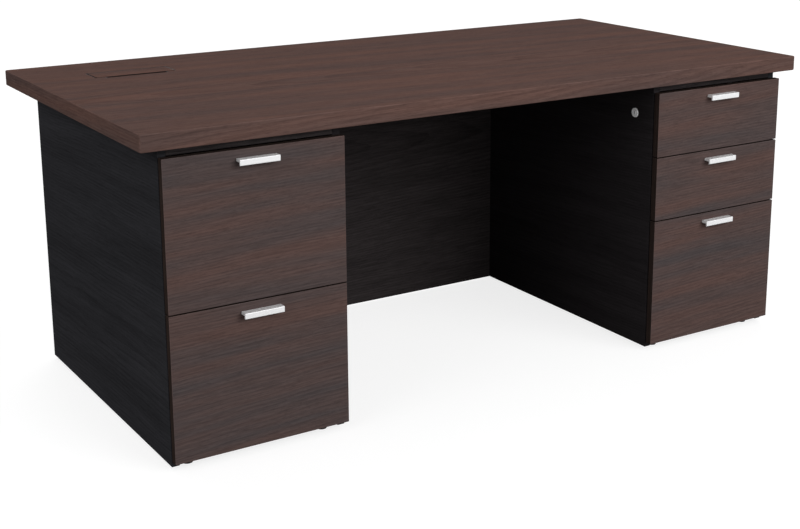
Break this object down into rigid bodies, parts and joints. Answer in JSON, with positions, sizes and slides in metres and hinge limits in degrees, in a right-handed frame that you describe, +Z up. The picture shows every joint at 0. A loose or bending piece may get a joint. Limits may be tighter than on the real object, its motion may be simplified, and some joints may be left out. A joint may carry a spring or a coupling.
{
  "type": "pedestal desk",
  "caption": "Wide office desk on two drawer pedestals, with sliding drawers, a side lock, a modesty panel and a hinged cable lid in the top.",
  "frame": {"origin": "on the floor, under the middle of the box round the top and the pulls", "axes": "+X to the right along the width, +Y from the front to the back, +Z up"},
  "size_m": [1.8, 0.9096, 0.73],
  "materials": {
    "wood": "dark reddish-brown wood grain, satin",
    "carcass": "charcoal black board with faint grain, satin",
    "drawer_lining": "pale grey wrapped board, matt",
    "pull_metal": "bright satin",
    "rail_steel": "zinc-plated sheet",
    "lock_metal": "satin chrome",
    "black_plastic": "moulded matt"
  },
  "bodies": {
    "desk": {"desk_top": "wood", "left_outer_side": "carcass", "left_inner_side": "carcass", "left_back_panel": "carcass", "left_top_board": "carcass", "left_base_board": "carcass", "right_outer_side": "carcass", "right_inner_side": "carcass", "right_back_panel": "carcass", "right_top_board": "carcass", "right_base_board": "carcass", "modesty_panel": "carcass", "left_outer_rails": "rail_steel", "right_outer_rails": "rail_steel", "modesty_brackets": "rail_steel", "foot_sockets": "rail_steel", "lock_bar_guides": "rail_steel", "lock_nut": "rail_steel", "cable_lid_hinge_pin": "rail_steel", "lock_housing": "lock_metal", "cable_port_liner": "black_plastic", "levelling_feet": "black_plastic", "drawer_buffers": "black_plastic"},
    "cable_lid": {"cable_lid": "wood"},
    "lock": {"lock_core": "lock_metal", "lock_cam": "rail_steel"},
    "lock_bar": {"lock_bar": "rail_steel"},
    "left_upper_drawer": {"left_upper_drawer_front": "wood", "left_upper_drawer_box": "drawer_lining", "left_upper_drawer_bottom": "drawer_lining", "left_upper_drawer_pull": "pull_metal", "left_upper_inner_rails": "rail_steel"},
    "left_upper_slide": {"left_upper_middle_rails": "rail_steel"},
    "left_lower_drawer": {"left_lower_drawer_front": "wood", "left_lower_drawer_box": "drawer_lining", "left_lower_drawer_bottom": "drawer_lining", "left_lower_drawer_pull": "pull_metal", "left_lower_inner_rails": "rail_steel"},
    "left_lower_slide": {"left_lower_middle_rails": "rail_steel"},
    "right_upper_drawer": {"right_upper_drawer_front": "wood", "right_upper_drawer_box": "drawer_lining", "right_upper_drawer_bottom": "drawer_lining", "right_upper_drawer_pull": "pull_metal", "right_upper_inner_rails": "rail_steel", "right_upper_lock_catch": "rail_steel"},
    "right_upper_slide": {"right_upper_middle_rails": "rail_steel"},
    "right_middle_drawer": {"right_middle_drawer_front": "wood", "right_middle_drawer_box": "drawer_lining", "right_middle_drawer_bottom": "drawer_lining", "right_middle_drawer_pull": "pull_metal", "right_middle_inner_rails": "rail_steel", "right_middle_lock_catch": "rail_steel"},
    "right_middle_slide": {"right_middle_middle_rails": "rail_steel"},
    "right_lower_drawer": {"right_lower_drawer_front": "wood", "right_lower_drawer_box": "drawer_lining", "right_lower_drawer_bottom": "drawer_lining", "right_lower_drawer_pull": "pull_metal", "right_lower_inner_rails": "rail_steel", "right_lower_lock_catch": "rail_steel"},
    "right_lower_slide": {"right_lower_middle_rails": "rail_steel"}
  },
  "joints": [
    {"name": "left_upper_drawer_slide", "type": "slide", "parent": "desk", "child": "left_upper_drawer", "axis": [0, -1, 0], "range_m": [0, 0.6]},
    {"name": "left_upper_middle_rail_slide", "type": "slide", "parent": "desk", "child": "left_upper_slide", "axis": [0, -1, 0], "range_m": [0, 0.3]},
    {"name": "left_lower_drawer_slide", "type": "slide", "parent": "desk", "child": "left_lower_drawer", "axis": [0, -1, 0], "range_m": [0, 0.6]},
    {"name": "left_lower_middle_rail_slide", "type": "slide", "parent": "desk", "child": "left_lower_slide", "axis": [0, -1, 0], "range_m": [0, 0.3]},
    {"name": "right_upper_drawer_slide", "type": "slide", "parent": "desk", "child": "right_upper_drawer", "axis": [0, -1, 0], "range_m": [0, 0.6]},
    {"name": "right_upper_middle_rail_slide", "type": "slide", "parent": "desk", "child": "right_upper_slide", "axis": [0, -1, 0], "range_m": [0, 0.3]},
    {"name": "right_middle_drawer_slide", "type": "slide", "parent": "desk", "child": "right_middle_drawer", "axis": [0, -1, 0], "range_m": [0, 0.6]},
    {"name": "right_middle_middle_rail_slide", "type": "slide", "parent": "desk", "child": "right_middle_slide", "axis": [0, -1, 0], "range_m": [0, 0.3]},
    {"name": "right_lower_drawer_slide", "type": "slide", "parent": "desk", "child": "right_lower_drawer", "axis": [0, -1, 0], "range_m": [0, 0.6]},
    {"name": "right_lower_middle_rail_slide", "type": "slide", "parent": "desk", "child": "right_lower_slide", "axis": [0, -1, 0], "range_m": [0, 0.3]},
    {"name": "cable_lid_hinge", "type": "hinge", "parent": "desk", "child": "cable_lid", "pos_m": [-0.648, 0.28975, 0.724], "axis": [-1, 0, 0], "range_deg": [0, 90]},
    {"name": "lock_turn", "type": "hinge", "parent": "desk", "child": "lock", "pos_m": [0.442, -0.34825, 0.613], "axis": [1, 0, 0], "range_deg": [0, 90]},
    {"name": "lock_bar_lift", "type": "slide", "parent": "desk", "child": "lock_bar", "axis": [0, 0, 1], "range_m": [0, 0.0113]}
  ],
  "couplings": [
    {"joint": "left_upper_middle_rail_slide", "follows": "left_upper_drawer_slide", "ratio": 0.5},
    {"joint": "left_lower_middle_rail_slide", "follows": "left_lower_drawer_slide", "ratio": 0.5},
    {"joint": "right_upper_middle_rail_slide", "follows": "right_upper_drawer_slide", "ratio": 0.5},
    {"joint": "right_middle_middle_rail_slide", "follows": "right_middle_drawer_slide", "ratio": 0.5},
    {"joint": "right_lower_middle_rail_slide", "follows": "right_lower_drawer_slide", "ratio": 0.5},
    {"joint": "lock_turn", "follows": "lock_bar_lift", "rad_per_m": 138.84}
  ]
}
